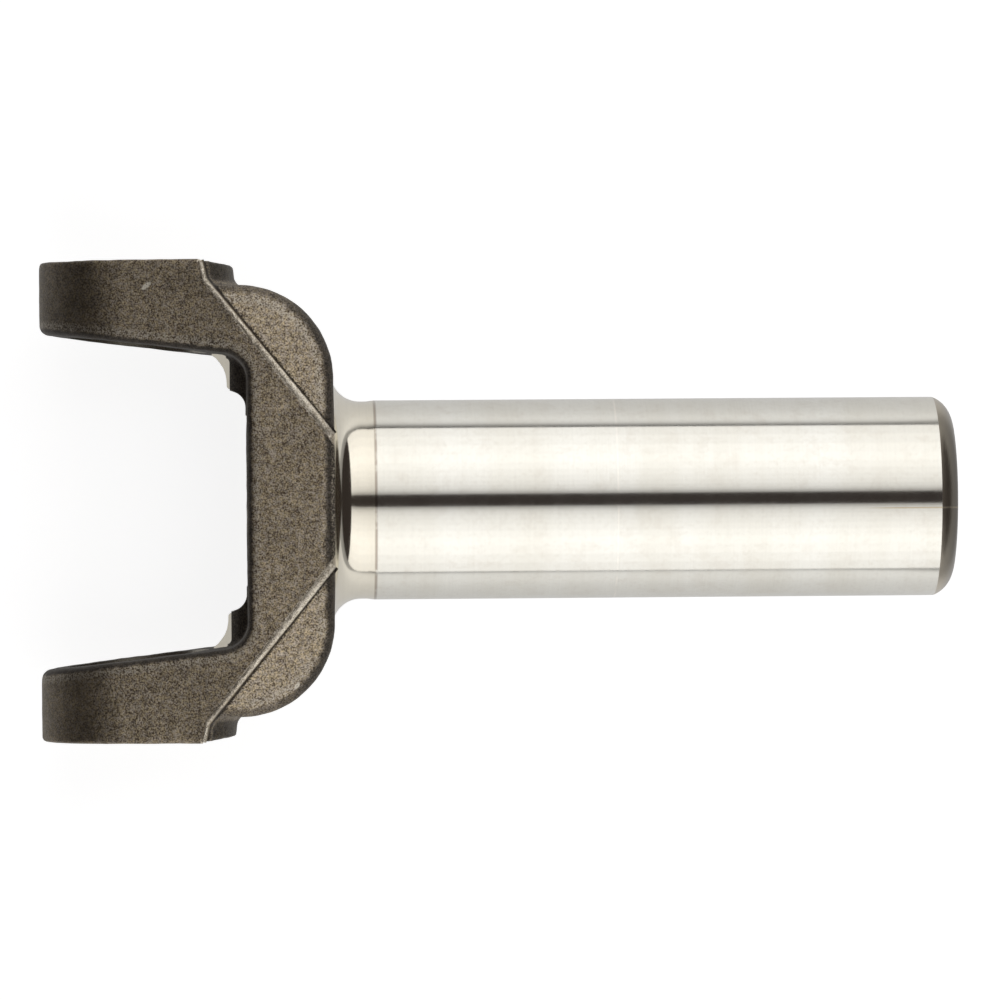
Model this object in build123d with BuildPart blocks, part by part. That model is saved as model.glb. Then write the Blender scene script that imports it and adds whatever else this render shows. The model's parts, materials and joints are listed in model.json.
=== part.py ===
from build123d import *
import math
import os

# A driveshaft slip yoke: a one-piece steel forging with a two-eared fork at one end and a
# ground, internally splined barrel at the other, and the soft plug that seals its spline
# bore in the crotch of the fork.
# Frame: the origin is the joint centre, where the cap bores' axis crosses the barrel's
# axis. +X runs down the barrel to its open end, Y runs through both cap bores, and Z runs
# through the flat sides of the fork. Millimetres.

# Fork, as forged
ear_radius = 18.7
ear_span = 91.5
side_draft = 7.0
gap_at_bores = 59.9
gap_draft = 6.7
crotch_depth = 20.8
crown_height = 3.9
crown_half_width = 6.0
crotch_corner_radius = 4.4
ear_edge_radius = 0.8
base_position = 37.2
shoulder_radius = 17.8
base_half_height = 23.1
shoulder_drop = 4.85
shoulder_edge_radius = 2.4
rim_radius = 1.6

# Parting line of the forging dies on the fork's sides, and the flash left along it
parting_top_x = 12.2
parting_kink_x = 13.0
parting_kink_rise = 1.0
parting_base_y = 11.8
flash_width = 1.3
flash_height = 0.4
flash_root = 1.2

# Boss round each cap bore, on the barrel side of the parting line
boss_radius = 18.8
boss_draft = 6.0
boss_top_step = 0.1
boss_fillet = 2.0
boss_start_x = 5.0
boss_root = 2.0

# Machined floor of the crotch: a wide facing cut, then a counterbore
facing_position = 17.6
facing_radius = 27.4
facing_corner_radius = 0.8
counterbore_position = 20.6
counterbore_radius = 21.4
counterbore_corner_radius = 2.4

# Cap bores and their snap ring grooves
cap_bore_radius = 13.49
groove_inset = 4.87
groove_width = 1.6
groove_depth = 1.0
cap_bore_chamfer = 0.8
chamfer_angle = 45.0

# Neck and barrel
barrel_radius = 19.1
barrel_end = 155.9
neck_relief = 0.18
neck_fillet = 5.5
neck_margin = 0.3
neck_land = 1.2
relief_ramp = 1.4
lip_width = 1.14
lead_in_angle = 38.0
lip_radius = 0.6

# Internal spline and the bores at its two ends
inch = 25.4
spline_teeth = 27
spline_pitch = 24 / inch
spline_pressure_angle = 30.0
spline_root_ratio = 1.35
spline_overlap = 0.3
pilot_clearance = 0.3
pilot_depth = 14.0
plug_seat_radius = 17.46
plug_seat_depth = 5.2

# Soft plug
plug_thickness = 1.6
plug_crown = 2.0
plug_clearance = 0.01

# How far a cut runs past what it cuts, how far it runs past the whole fork, and how near
# an edge lies to the face that it is picked by
over = 1.0
reach = 60.0
touching = 0.01

half_span = ear_span / 2
shoulder_half_height = half_span - shoulder_drop
parting_kink_y = shoulder_half_height + parting_kink_rise
spline_minor_radius = (spline_teeth - 1) / spline_pitch / 2
spline_major_radius = (spline_teeth + spline_root_ratio) / spline_pitch / 2
pilot_radius = spline_major_radius + pilot_clearance
side_slope = math.tan(math.radians(side_draft))
gap_slope = math.tan(math.radians(gap_draft))
boss_slope = math.tan(math.radians(boss_draft))
up_y = Plane(origin=(0, 0, 0), x_dir=(1, 0, 0), z_dir=(0, 1, 0))


def side_half_width(x):
    """Half the fork's thickness in Z at x, on the straight drafted sides."""
    return ear_radius / math.cos(math.radians(side_draft)) + x * side_slope


def gap_half_width(x):
    """Half the gap between the ears at x."""
    return gap_at_bores / 2 - x * gap_slope


def plan_outline(grow, end_x):
    """The fork seen along the cap bores: a round tip and two sides that widen with draft."""
    radius = ear_radius + grow
    draft = math.radians(side_draft)
    tangent_x = -radius * math.sin(draft)
    tangent_z = radius * math.cos(draft)
    end_z = side_half_width(end_x) + grow / math.cos(draft)
    with BuildSketch(Plane.XZ) as plan:
        with BuildLine():
            ThreePointArc((tangent_x, tangent_z), (-radius, 0), (tangent_x, -tangent_z))
            Polyline((tangent_x, -tangent_z), (end_x, -end_z), (end_x, end_z), (tangent_x, tangent_z))
        make_face()
    return plan.sketch


def ear_outline(grow):
    """The two ears seen from the fork's flat side, before the gap is cut."""
    tip_x = -ear_radius - over
    foot_x = parting_kink_x + grow
    with BuildSketch(Plane.XY) as outline:
        with BuildLine():
            Polyline(
                (tip_x, 0),
                (tip_x, half_span),
                (parting_top_x + grow, half_span),
                (foot_x, shoulder_half_height + grow),
                (foot_x, 0),
            )
            mirror(about=Plane.XZ)
        make_face()
    return outline.sketch


def shoulder_outline(grow):
    """The base and its shoulders seen from the fork's flat side, from the bores' axis on."""
    shoulder = shoulder_half_height + grow
    base_x = base_position + grow
    rounding = min(shoulder_radius, shoulder_half_height - base_half_height)
    with BuildSketch(Plane.XY) as outline:
        with BuildLine():
            Polyline((0, 0), (0, shoulder), (base_x, shoulder), (base_x, 0))
            mirror(about=Plane.XZ)
        make_face()
        fillet(outline.vertices().group_by(Axis.X)[-1], rounding)
    return outline.sketch


def facet_plane(grow):
    """The drafted facet between the parting line and a shoulder, on the +Y, +Z side."""
    start = Vector(parting_kink_x, parting_kink_y, side_half_width(parting_kink_x) + grow)
    end = Vector(base_position, parting_base_y, side_half_width(base_position) + grow)
    fall = Vector(1, 0, -side_slope)
    return Plane(origin=start, x_dir=end - start, z_dir=(end - start).cross(fall))


def facet_waste(grow):
    """What lies outside the four facets."""
    with BuildPart() as waste:
        with BuildSketch(facet_plane(grow)):
            Rectangle(2 * reach, 2 * reach)
        extrude(amount=reach)
        split(bisect_by=Plane.XZ, keep=Keep.BOTTOM)
        mirror(about=Plane.XZ)
        mirror(about=Plane.XY)
    return waste.part


def forged_ears(grow):
    """The ears' end of the fork, uncut, larger by grow on the outside."""
    with BuildPart() as ears:
        extrude(ear_outline(grow), amount=reach, both=True)
        extrude(plan_outline(grow, base_position + grow), amount=reach, both=True, mode=Mode.INTERSECT)
    return ears.part


def forged_base(grow):
    """The base's end of the fork with its shoulders and facets, larger by grow on the outside."""
    with BuildPart() as base:
        extrude(shoulder_outline(grow), amount=reach, both=True)
        extrude(plan_outline(grow, base_position + grow), amount=reach, both=True, mode=Mode.INTERSECT)
        add(facet_waste(grow), mode=Mode.SUBTRACT)
    return base.part


def forged_blank(grow):
    """The whole outside of the fork, larger by grow, before its edges are rounded."""
    with BuildPart() as blank:
        add(forged_ears(grow))
        add(forged_base(grow))
    return blank.part


def edges_on_ear_ends(part):
    """The edges of the milled ear faces, round the tips and along both sides."""
    chosen = []
    for edge in part.edges():
        middle = edge.position_at(0.5)
        if abs(abs(middle.Y) - half_span) < touching and middle.X < parting_top_x - over:
            chosen.append(edge)
    return chosen


def edges_on_shoulder(part, up, front):
    """The edges round one shoulder on one flat side, from the ear to the parting line's foot."""
    chosen = []
    for edge in part.edges():
        middle = edge.position_at(0.5)
        on_side = middle.Z * front > ear_radius / 2 and middle.X > parting_kink_x
        past_parting = middle.Y * up > parting_base_y + over
        across = [face for face in part.faces() if edge in face.edges()]
        upright = [face for face in across if abs(face.normal_at(middle).Z) < touching]
        if on_side and past_parting and upright:
            chosen.append(edge)
    return chosen


def edges_on_rim(part):
    """The edges of the gap, along both flat sides of the fork and round the ears' tips."""
    chosen = []
    for edge in part.edges():
        middle = edge.position_at(0.5)
        in_gap = abs(middle.Y) < gap_half_width(middle.X) + touching
        before_floor = middle.X < crotch_depth + over
        if in_gap and before_floor:
            chosen.append(edge)
    return chosen


def edges_at_boss_foot(part):
    """The edges where a boss, and the step beside it, stand on the shoulder."""
    foot_radius = boss_radius + touching
    chosen = []
    for edge in part.edges():
        middle = edge.position_at(0.5)
        on_shoulder = abs(abs(middle.Y) - shoulder_half_height) < touching
        on_boss = math.hypot(middle.X, middle.Z) < foot_radius
        on_step = middle.X < parting_kink_x + touching
        if on_shoulder and abs(middle.Z) < ear_radius - over and (on_boss or on_step):
            chosen.append(edge)
    return chosen


def spline_space():
    """One space between two teeth of the internal spline, about +Y of its own plane."""
    pitch_radius = spline_teeth / spline_pitch / 2
    base_radius = pitch_radius * math.cos(math.radians(spline_pressure_angle))
    half_space = math.pi / spline_teeth / 2

    def flank(radius, side):
        angle_at_pitch = math.radians(spline_pressure_angle)
        angle_here = math.acos(base_radius / radius)
        involute_at_pitch = math.tan(angle_at_pitch) - angle_at_pitch
        involute_here = math.tan(angle_here) - angle_here
        turn = half_space + involute_at_pitch - involute_here
        return (side * radius * math.sin(turn), radius * math.cos(turn))

    inner = spline_minor_radius - spline_overlap
    outer = spline_major_radius
    with BuildSketch(Plane.XY) as space:
        with BuildLine():
            ThreePointArc(flank(inner, -1), flank(pitch_radius, -1), flank(outer, -1))
            ThreePointArc(flank(outer, -1), (0, outer), flank(outer, 1))
            ThreePointArc(flank(outer, 1), flank(pitch_radius, 1), flank(inner, 1))
            Line(flank(inner, 1), flank(inner, -1))
        make_face()
    return space.sketch


# The space between the ears, with drafted walls and a flat floor
with BuildPart() as gap:
    mouth_x = -ear_radius - over
    with BuildSketch(Plane.XY) as gap_outline:
        with BuildLine():
            Polyline(
                (mouth_x, 0),
                (mouth_x, gap_half_width(mouth_x)),
                (crotch_depth, gap_half_width(crotch_depth)),
                (crotch_depth, 0),
            )
            mirror(about=Plane.XZ)
        make_face()
        fillet(gap_outline.vertices().group_by(Axis.X)[-1], crotch_corner_radius)
    extrude(amount=reach, both=True)

# The crown across the crotch: its top is highest midway between the flat sides
with BuildPart() as crown:
    crown_top = crotch_depth - crown_height
    crown_root = crotch_depth + over
    with BuildSketch(Plane.XZ):
        with BuildLine():
            ThreePointArc((crotch_depth, crown_half_width), (crown_top, 0), (crotch_depth, -crown_half_width))
            Polyline(
                (crotch_depth, -crown_half_width),
                (crown_root, -crown_half_width),
                (crown_root, crown_half_width),
                (crotch_depth, crown_half_width),
            )
        make_face()
    extrude(amount=gap_half_width(crown_top) + over, both=True)

# The boss on the back of each ear, up to its forged outer face
with BuildPart() as boss:
    with BuildSketch(up_y.offset(shoulder_half_height - boss_root)):
        Circle(boss_radius + boss_root * boss_slope)
        with Locations((boss_start_x + boss_radius, 0)):
            Rectangle(2 * boss_radius, 2 * reach, mode=Mode.INTERSECT)
    extrude(amount=half_span - shoulder_half_height + boss_root, taper=boss_draft)
    top_y = half_span - boss_top_step
    far_x = boss_radius + over
    with BuildSketch(Plane.XY):
        with BuildLine():
            Polyline(
                (parting_top_x, top_y),
                (far_x, top_y - (far_x - parting_top_x) * boss_slope),
                (far_x, half_span + over),
                (parting_top_x, half_span + over),
                close=True,
            )
        make_face()
    extrude(amount=reach, both=True, mode=Mode.SUBTRACT)
    mirror(about=Plane.XZ)

# The two turned tools that face the crotch about the barrel's axis
with BuildPart() as crotch_tools:
    with BuildSketch(Plane.XY) as facing:
        with BuildLine():
            Polyline(
                (0, 0),
                (0, facing_radius),
                (facing_position, facing_radius),
                (facing_position, 0),
                close=True,
            )
        make_face()
        fillet(facing.vertices().group_by(Axis.X)[-1].sort_by(Axis.Y)[-1], facing_corner_radius)
    revolve(axis=Axis.X)
    with BuildSketch(Plane.XY) as counterbore:
        with BuildLine():
            Polyline(
                (0, 0),
                (0, counterbore_radius),
                (counterbore_position, counterbore_radius),
                (counterbore_position, 0),
                close=True,
            )
        make_face()
        fillet(counterbore.vertices().group_by(Axis.X)[-1].sort_by(Axis.Y)[-1], counterbore_corner_radius)
    revolve(axis=Axis.X)

# The turned neck and ground barrel
seat_floor = counterbore_position + plug_seat_depth
neck_radius = barrel_radius - neck_relief
base_room = min(side_half_width(base_position), base_half_height)
neck_shoulder = min(base_room - neck_margin, neck_radius + neck_fillet)
neck_rise = neck_radius + neck_fillet - neck_shoulder
neck_run = math.sqrt(neck_fillet ** 2 - neck_rise ** 2)
neck_end = base_position + neck_run
ground_start = neck_end + neck_land + relief_ramp
lead_in_drop = barrel_radius - pilot_radius - lip_width
lead_in_length = lead_in_drop / math.tan(math.radians(lead_in_angle))
with BuildPart() as barrel:
    with BuildSketch(Plane.XY) as section:
        with BuildLine():
            Polyline(
                (neck_end, neck_radius),
                (neck_end + neck_land, neck_radius),
                (ground_start, barrel_radius),
                (barrel_end - lead_in_length, barrel_radius),
                (barrel_end, barrel_radius - lead_in_drop),
                (barrel_end, 0),
                (seat_floor, 0),
                (seat_floor, neck_radius),
                (base_position, neck_radius),
                (base_position, neck_shoulder),
            )
            RadiusArc((base_position, neck_shoulder), (neck_end, neck_radius), -neck_fillet)
        make_face()
        fillet(section.vertices().group_by(Axis.X)[-1].sort_by(Axis.Y)[-1], lip_radius)
    revolve(axis=Axis.X)

# The flash left standing along the parting line
with BuildPart() as flash:
    with BuildSketch(Plane.XY):
        with BuildLine() as parting_line:
            Polyline(
                (parting_top_x, half_span),
                (parting_kink_x, parting_kink_y),
                (base_position, parting_base_y),
                (base_position, 0),
            )
            mirror(about=Plane.XZ)
        trace(line_width=flash_width)
    extrude(amount=reach, both=True)
    add(forged_blank(flash_height), mode=Mode.INTERSECT)
    extrude(plan_outline(-flash_root, base_position + over), amount=reach, both=True, mode=Mode.SUBTRACT)

with BuildPart() as yoke:
    # The forging
    add(forged_base(0))
    for up, front in ((1, 1), (1, -1), (-1, 1), (-1, -1)):
        fillet(edges_on_shoulder(yoke.part, up, front), shoulder_edge_radius)
    add(forged_ears(0))
    fillet(edges_on_ear_ends(yoke.part), ear_edge_radius)
    add(gap.part, mode=Mode.SUBTRACT)
    fillet(edges_on_rim(yoke.part), rim_radius)
    add(crown.part)
    add(boss.part)
    fillet(edges_at_boss_foot(yoke.part), boss_fillet)
    add(flash.part)
    add(barrel.part)
    add(crotch_tools.part, mode=Mode.SUBTRACT)

    # Cap bores, their chamfers and the snap ring grooves
    with BuildSketch(Plane.XZ):
        Circle(cap_bore_radius)
    extrude(amount=reach, both=True, mode=Mode.SUBTRACT)
    groove_start = half_span - groove_inset
    for side in (up_y, Plane.XZ):
        with BuildSketch(side.offset(groove_start)):
            Circle(cap_bore_radius + groove_depth)
        extrude(amount=groove_width, mode=Mode.SUBTRACT)
        mouth = half_span - cap_bore_chamfer
        with BuildSketch(side.offset(mouth)):
            Circle(cap_bore_radius)
        extrude(amount=cap_bore_chamfer, taper=-chamfer_angle, mode=Mode.SUBTRACT)

    # Seat for the plug, the spline and the open end's pilot bore
    pilot_floor = barrel_end - pilot_depth
    cone_length = pilot_radius - spline_minor_radius
    with BuildSketch(Plane.XY):
        with BuildLine():
            Polyline(
                (0, 0),
                (0, plug_seat_radius),
                (seat_floor, plug_seat_radius),
                (seat_floor, spline_minor_radius),
                (pilot_floor - cone_length, spline_minor_radius),
                (pilot_floor, pilot_radius),
                (barrel_end + over, pilot_radius),
                (barrel_end + over, 0),
                close=True,
            )
        make_face()
    revolve(axis=Axis.X, mode=Mode.SUBTRACT)
    with BuildSketch(Plane.YZ.offset(seat_floor - over)):
        with PolarLocations(0, spline_teeth):
            add(spline_space())
    extrude(amount=pilot_floor - seat_floor + over, mode=Mode.SUBTRACT)

yoke.part.label = "yoke"
os.makedirs("parts", exist_ok=True)
export_step(yoke.part, "parts/yoke.step")

# The soft plug: a shallow dome of sheet steel, pressed into its seat against the floor
with BuildPart() as core_plug:
    plug_radius = plug_seat_radius - plug_clearance
    rim_face = seat_floor - plug_thickness
    with BuildSketch(Plane.XY):
        with BuildLine():
            ThreePointArc((rim_face, plug_radius), (rim_face - plug_crown, 0), (rim_face, -plug_radius))
            Line((rim_face, -plug_radius), (seat_floor, -plug_radius))
            ThreePointArc((seat_floor, -plug_radius), (seat_floor - plug_crown, 0), (seat_floor, plug_radius))
            Line((seat_floor, plug_radius), (rim_face, plug_radius))
        make_face()
        split(bisect_by=Plane.XZ)
    revolve(axis=Axis.X)

core_plug.part.label = "core_plug"
export_step(core_plug.part, "parts/core_plug.step")
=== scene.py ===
# %% [markdown]
# A driveshaft slip yoke is one steel forging. Its fork keeps the grey-brown skin of the
# forging, with a thin ridge of flash where the two dies met, and its barrel is ground
# bright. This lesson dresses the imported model, piece by piece, in Blender. The model's own
# sizes come from the frame, so what is made here lies where the solid lies.

# %% The frame
import json
import math
import bmesh
import bpy
import numpy as np
from mathutils import Matrix, Vector, noise


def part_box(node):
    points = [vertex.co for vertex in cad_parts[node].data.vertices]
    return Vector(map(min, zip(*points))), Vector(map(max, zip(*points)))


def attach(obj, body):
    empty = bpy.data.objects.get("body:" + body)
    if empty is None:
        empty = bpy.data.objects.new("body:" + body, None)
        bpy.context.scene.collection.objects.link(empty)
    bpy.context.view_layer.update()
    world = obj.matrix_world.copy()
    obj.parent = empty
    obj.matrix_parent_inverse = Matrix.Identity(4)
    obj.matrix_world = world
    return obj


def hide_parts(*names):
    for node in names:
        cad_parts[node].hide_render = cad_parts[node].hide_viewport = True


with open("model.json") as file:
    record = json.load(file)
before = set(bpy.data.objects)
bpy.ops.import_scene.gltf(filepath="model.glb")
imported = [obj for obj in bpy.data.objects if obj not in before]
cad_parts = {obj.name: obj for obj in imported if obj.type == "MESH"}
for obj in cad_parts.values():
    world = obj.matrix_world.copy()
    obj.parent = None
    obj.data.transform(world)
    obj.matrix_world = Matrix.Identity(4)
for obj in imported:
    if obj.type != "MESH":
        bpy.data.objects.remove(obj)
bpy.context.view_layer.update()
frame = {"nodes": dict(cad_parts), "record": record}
mm = 0.001
mounts = {mount["name"]: mount for mount in frame["record"]["mounts"]}
yoke_low, yoke_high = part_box("yoke")
print("the yoke lies from", tuple(yoke_low), "to", tuple(yoke_high))

# %% [markdown]
# The driving sizes. What the frame and its mounts give is read from them: the ears' tip
# radius, the span over the ears, the barrel and the bores, so that a change to the solids
# comes along by itself. The rest are the forging's own sizes, as a die maker would write
# them. All lengths are in metres, written as so many mm.

# %% Sizes
ear_radius = -yoke_low.x
half_span = yoke_high.y
barrel_end = yoke_high.x
barrel_radius = mounts["barrel"]["dims"]["r_mm"] * mm
cap_bore_radius = mounts["cross_bores"]["dims"]["r_mm"] * mm
pilot_radius = mounts["pilot_bore"]["dims"]["r_mm"] * mm
pilot_depth = mounts["pilot_bore"]["dims"]["length_mm"] * mm
spline_pitch_radius = mounts["output_spline"]["dims"]["r_mm"] * mm
side_draft = math.radians(7.0)
gap_draft = math.radians(6.7)
boss_draft = math.radians(6.0)
gap_at_bores = 59.9 * mm
crotch_depth = 20.8 * mm
crotch_corner_radius = 4.4 * mm
crown_height = 3.9 * mm
crown_half_width = 6.0 * mm
base_position = 37.2 * mm
shoulder_radius = 17.8 * mm
shoulder_half_height = 40.9 * mm
shoulder_edge_radius = 2.4 * mm
ear_edge_radius = 0.8 * mm
rim_radius = 1.6 * mm
parting_top_x = 12.2 * mm
parting_kink = Vector((13.0, 41.9)) * mm
parting_foot = Vector((37.2, 11.8)) * mm
boss_radius = 18.8 * mm
boss_fillet = 2.0 * mm
boss_top_step = 0.1 * mm
boss_start_x = 5.0 * mm
boss_edge_radius = 0.5 * mm
print(f"span {2 * half_span / mm:.1f} mm, barrel {2 * barrel_radius / mm:.1f} mm")

# %% [markdown]
# A forging has hardly a sharp edge, and its edges differ: wide where the die was worn, tight
# at the ears. Beveling a mesh of flat faces by hand would be fragile where three of them
# meet, so the skin is worked out as a distance field: a number for each point of space that
# says how far it is outside the steel. Two fields join with a round edge of any radius.

# %% Joining two distance fields
def round_and(first, second, radius):
    """What lies in both shapes, with the edge where they meet rounded to that radius."""
    corner = np.hypot(np.maximum(first + radius, 0), np.maximum(second + radius, 0))
    return np.minimum(np.maximum(first, second), -radius) + corner


def round_or(first, second, radius):
    """What lies in either shape, with a fillet of that radius in the corner between them."""
    corner = np.hypot(np.maximum(radius - first, 0), np.maximum(radius - second, 0))
    return np.maximum(np.minimum(first, second), radius) - corner


print(f"rounded to 1 mm, a square edge loses {round_and(0.0, 0.0, 1.0):.2f} mm at its corner")

# %% [markdown]
# The forging is the fork's outline seen from its flat side, cut by the outline seen along
# the cap bores. The dies closed along the barrel, so the flat sides widen towards the
# parting line and narrow again behind it. Everything is the same on both sides, so the
# field uses the distance from the middle in Y and in Z.

# %% The forging as a distance field
def side_half_width(x):
    """Half the fork's thickness at x, on its drafted flat sides."""
    return ear_radius / math.cos(side_draft) + x * math.tan(side_draft)


def flat_side_field(x, y, z):
    """How far a point is outside the drafted sides, the ears' round tips and the facets."""
    sine, cosine = math.sin(side_draft), math.cos(side_draft)
    side = z * cosine - x * sine - ear_radius
    tip = np.hypot(x, z) - ear_radius
    plan = np.where(x * cosine + z * sine < 0, tip, side)
    start = Vector((*parting_kink, side_half_width(parting_kink.x)))
    end = Vector((*parting_foot, side_half_width(parting_foot.x)))
    normal = (end - start).cross(Vector((1, 0, -math.tan(side_draft)))).normalized()
    if normal.z < 0:
        normal = -normal
    facet = (x - start.x) * normal.x + (y - start.y) * normal.y + (z - start.z) * normal.z
    return np.where(x > parting_kink.x, np.maximum(plan, facet), plan)


def outline_field(x, y):
    """How far a point is outside the fork as its flat side shows it, with no gap."""
    run = Vector((parting_kink.x - parting_top_x, parting_kink.y - half_span)).normalized()
    step = (x - parting_top_x) * -run.y + (y - half_span) * run.x
    ears = np.maximum(step, y - half_span)
    shoulders = round_and(x - base_position, y - shoulder_half_height, shoulder_radius)
    return round_or(ears, shoulders, boss_fillet)


def boss_field(x, y, z):
    """How far a point is outside the boss that stands round a cap bore, on its barrel side."""
    slope = math.tan(boss_draft)
    wall = np.hypot(x, z) - boss_radius + (y - shoulder_half_height) * slope
    top = y - half_span + np.maximum((x - parting_top_x) * slope + boss_top_step, 0)
    return round_and(np.maximum(wall, boss_start_x - x), top, boss_edge_radius)


def gap_field(x, y):
    """How far a point is outside the space between the ears."""
    wall = (y - gap_at_bores / 2 + x * math.tan(gap_draft)) * math.cos(gap_draft)
    return round_and(wall, x - crotch_depth, crotch_corner_radius)


def crown_field(x, y, z):
    """How far a point is outside the crown that rises across the gap's floor."""
    rise = (crown_half_width ** 2 + crown_height ** 2) / (2 * crown_height)
    dome = np.hypot(x - crotch_depth + crown_height - rise, z) - rise
    block = np.maximum(x - crotch_depth - rim_radius, z - crown_half_width)
    return np.maximum(np.maximum(dome, block), y - gap_at_bores / 2)


def forging_field(x, y, z):
    """How far a point is outside the forging, before anything is machined."""
    y, z = np.abs(y), np.abs(z)
    blend = np.clip((x - parting_top_x) / shoulder_edge_radius, 0, 1)
    edge = ear_edge_radius + (shoulder_edge_radius - ear_edge_radius) * blend
    sides = flat_side_field(x, y, z)
    body = round_and(outline_field(x, y), sides, edge)
    boss = round_or(body, boss_field(x, y, z), boss_fillet)
    body = np.where(x > parting_kink.x, boss, np.minimum(body, boss_field(x, y, z)))
    body = round_and(body, -gap_field(x, y), rim_radius)
    return np.minimum(body, crown_field(x, y, z))


print(f"the fork is {2 * side_half_width(base_position) / mm:.1f} mm thick at its base")

# %% [markdown]
# To turn a field into a mesh, the space is cut into small cells. Each cell that the
# surface crosses gets one point, the mean of the places where the cell's edges cross it,
# and each crossed edge becomes a quad between the four cells round it. Small cells are
# needed for the tightest round edges, and numpy works through them all at once.

# %% From field to mesh
cell = 0.48 * mm
margin_cells = 3


def surface_of(field, lowest, size):
    """The zero level of a field on a grid, as points and quads."""
    inside = field < 0
    cells_each_way = [n - 1 for n in field.shape]
    corners = [(i, j, k) for i in (0, 1) for j in (0, 1) for k in (0, 1)]
    filled = np.zeros(cells_each_way, np.int8)
    for i, j, k in corners:
        filled += inside[i:, j:, k:][:cells_each_way[0], :cells_each_way[1], :cells_each_way[2]]
    cells = np.argwhere((filled > 0) & (filled < len(corners)))
    number = np.full(cells_each_way, -1)
    number[tuple(cells.T)] = np.arange(len(cells))
    total = np.zeros((len(cells), 3))
    hits = np.zeros((len(cells), 1))
    quads = []
    for axis in range(3):
        along = np.eye(3, dtype=int)[axis]
        for corner in corners:
            if corner[axis]:
                continue
            near = field[tuple((cells + corner).T)]
            far = field[tuple((cells + corner + along).T)]
            crossed = ((near < 0) != (far < 0))[:, None]
            share = (near / np.where(near == far, 1, near - far))[:, None]
            total += np.where(crossed, np.array(corner) + share * along, 0)
            hits += crossed
        first = np.take(inside, range(cells_each_way[axis]), axis)
        second = np.take(inside, range(1, cells_each_way[axis] + 1), axis)
        edges = np.argwhere(first != second)
        one, two = np.eye(3, dtype=int)[(axis + 1) % 3], np.eye(3, dtype=int)[(axis + 2) % 3]
        ring = [number[tuple((edges - step).T)] for step in (one + two, two, 0 * one, one)]
        quad = np.stack(ring, axis=1)
        leaving = first[tuple(edges.T)]
        quads.append(np.where(leaving[:, None], quad, quad[:, ::-1]))
    points = lowest + (cells + total / hits) * size
    return points, np.concatenate(quads)


def mesh_object(name, points, faces):
    """A new object with that mesh, in the scene."""
    mesh = bpy.data.meshes.new(name)
    mesh.from_pydata([tuple(p) for p in points], [], [tuple(f) for f in faces])
    mesh.validate()
    made = bpy.data.objects.new(name, mesh)
    bpy.context.scene.collection.objects.link(made)
    return made


fork_low = np.array([-ear_radius, -half_span, yoke_low.z]) - margin_cells * cell
fork_high = np.array([base_position, half_span, yoke_high.z]) + margin_cells * cell
axes = [np.arange(low, high, cell) for low, high in zip(fork_low, fork_high)]
grid = np.meshgrid(*axes, indexing="ij", sparse=True)
skin_points, skin_quads = surface_of(forging_field(*grid), fork_low, cell)
yoke = mesh_object("yoke_forging", skin_points, skin_quads)
print("the forging's skin has", len(skin_quads), "quads")

# %% [markdown]
# Shot blasting and scale leave no forged face quite flat. Each point is moved a few
# hundredths of a millimetre along its normal by smooth noise, coarse waves first and finer
# dents after, but never out of the yoke's box. A displace modifier would need a texture for
# each layer, and this is one sum.

# %% Unevenness of the forged skin
def roughen(made, layers):
    """Moves each point along its normal by layers of noise, each a (grain size, depth)."""
    mesh = made.data
    points = [vertex.co.copy() for vertex in mesh.vertices]
    normals = [vertex.normal.copy() for vertex in mesh.vertices]
    for vertex, point, normal in zip(mesh.vertices, points, normals):
        depth = sum(noise.noise(point / grain) * height for grain, height in layers)
        moved = zip(point + normal * depth, yoke_low, yoke_high)
        vertex.co = [min(max(value, low), high) for value, low, high in moved]


wave_layers = ((9 * mm, 0.09 * mm), (3.2 * mm, 0.07 * mm), (1.5 * mm, 0.04 * mm))
roughen(yoke, wave_layers)
print("roughened", len(yoke.data.vertices), "points")

# %% [markdown]
# Flash is the thin fin that squeezes out between the dies. After trimming a low ridge is
# left along the parting line, steep on the barrel's side, ragged at both edges and uneven
# in height. It is a strip swept along the line, its section redrawn at each step, and its
# root sinks into the skin so that the two meshes can be joined into one solid. It widens
# towards the barrel, where more metal had to go.

# %% The flash along the parting lines
flash_width = 1.25 * mm
flash_height = 0.42 * mm
flash_root = 0.7 * mm
flash_step = 0.3 * mm
flash_start = Vector((parting_top_x, half_span - 0.3 * mm))
flash_inset = Vector((0.31, -0.39)) * mm
flash_section = ((-0.72, 0.0), (-0.5, 0.35), (-0.28, 0.8), (0.0, 1.0), (0.25, 0.95), (0.44, 0.7),
                 (0.5, 0.0))

# A swing is how far noise moves a size, and a grain how long the noise's waves are, in mm.
# The quarters' seed gives each of the four strips noise of its own.
narrowest, widening = 0.72, 0.5
width_swing, width_grain = 0.3, 2.1
height_share, height_swing, height_grain = 0.95, 0.5, 1.3
drift_swing, drift_grain = 0.12 * mm, 3.0
ragged_swing, ragged_grain = 0.10 * mm, 0.7
fade_steps, faded_height = 4, 0.35
root_share = 0.8
quarter_seed = 0.05


def outward(made):
    """Turns all faces of a closed mesh to look outward."""
    shape = bmesh.new()
    shape.from_mesh(made.data)
    bmesh.ops.recalc_face_normals(shape, faces=shape.faces)
    if shape.calc_volume(signed=True) < 0:
        bmesh.ops.reverse_faces(shape, faces=shape.faces)
    shape.to_mesh(made.data)
    shape.free()


def loft(name, rings):
    """A closed solid through rings that have as many points each, capped at both ends."""
    sides = len(rings[0])
    last = (len(rings) - 1) * sides
    faces = []
    for here in range(0, last, sides):
        for n in range(sides):
            m = (n + 1) % sides
            faces.append([here + n, here + m, here + sides + m, here + sides + n])
    faces += [list(range(sides))[::-1], [last + n for n in range(sides)]]
    made = mesh_object(name, [point for ring in rings for point in ring], faces)
    outward(made)
    return made


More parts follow.
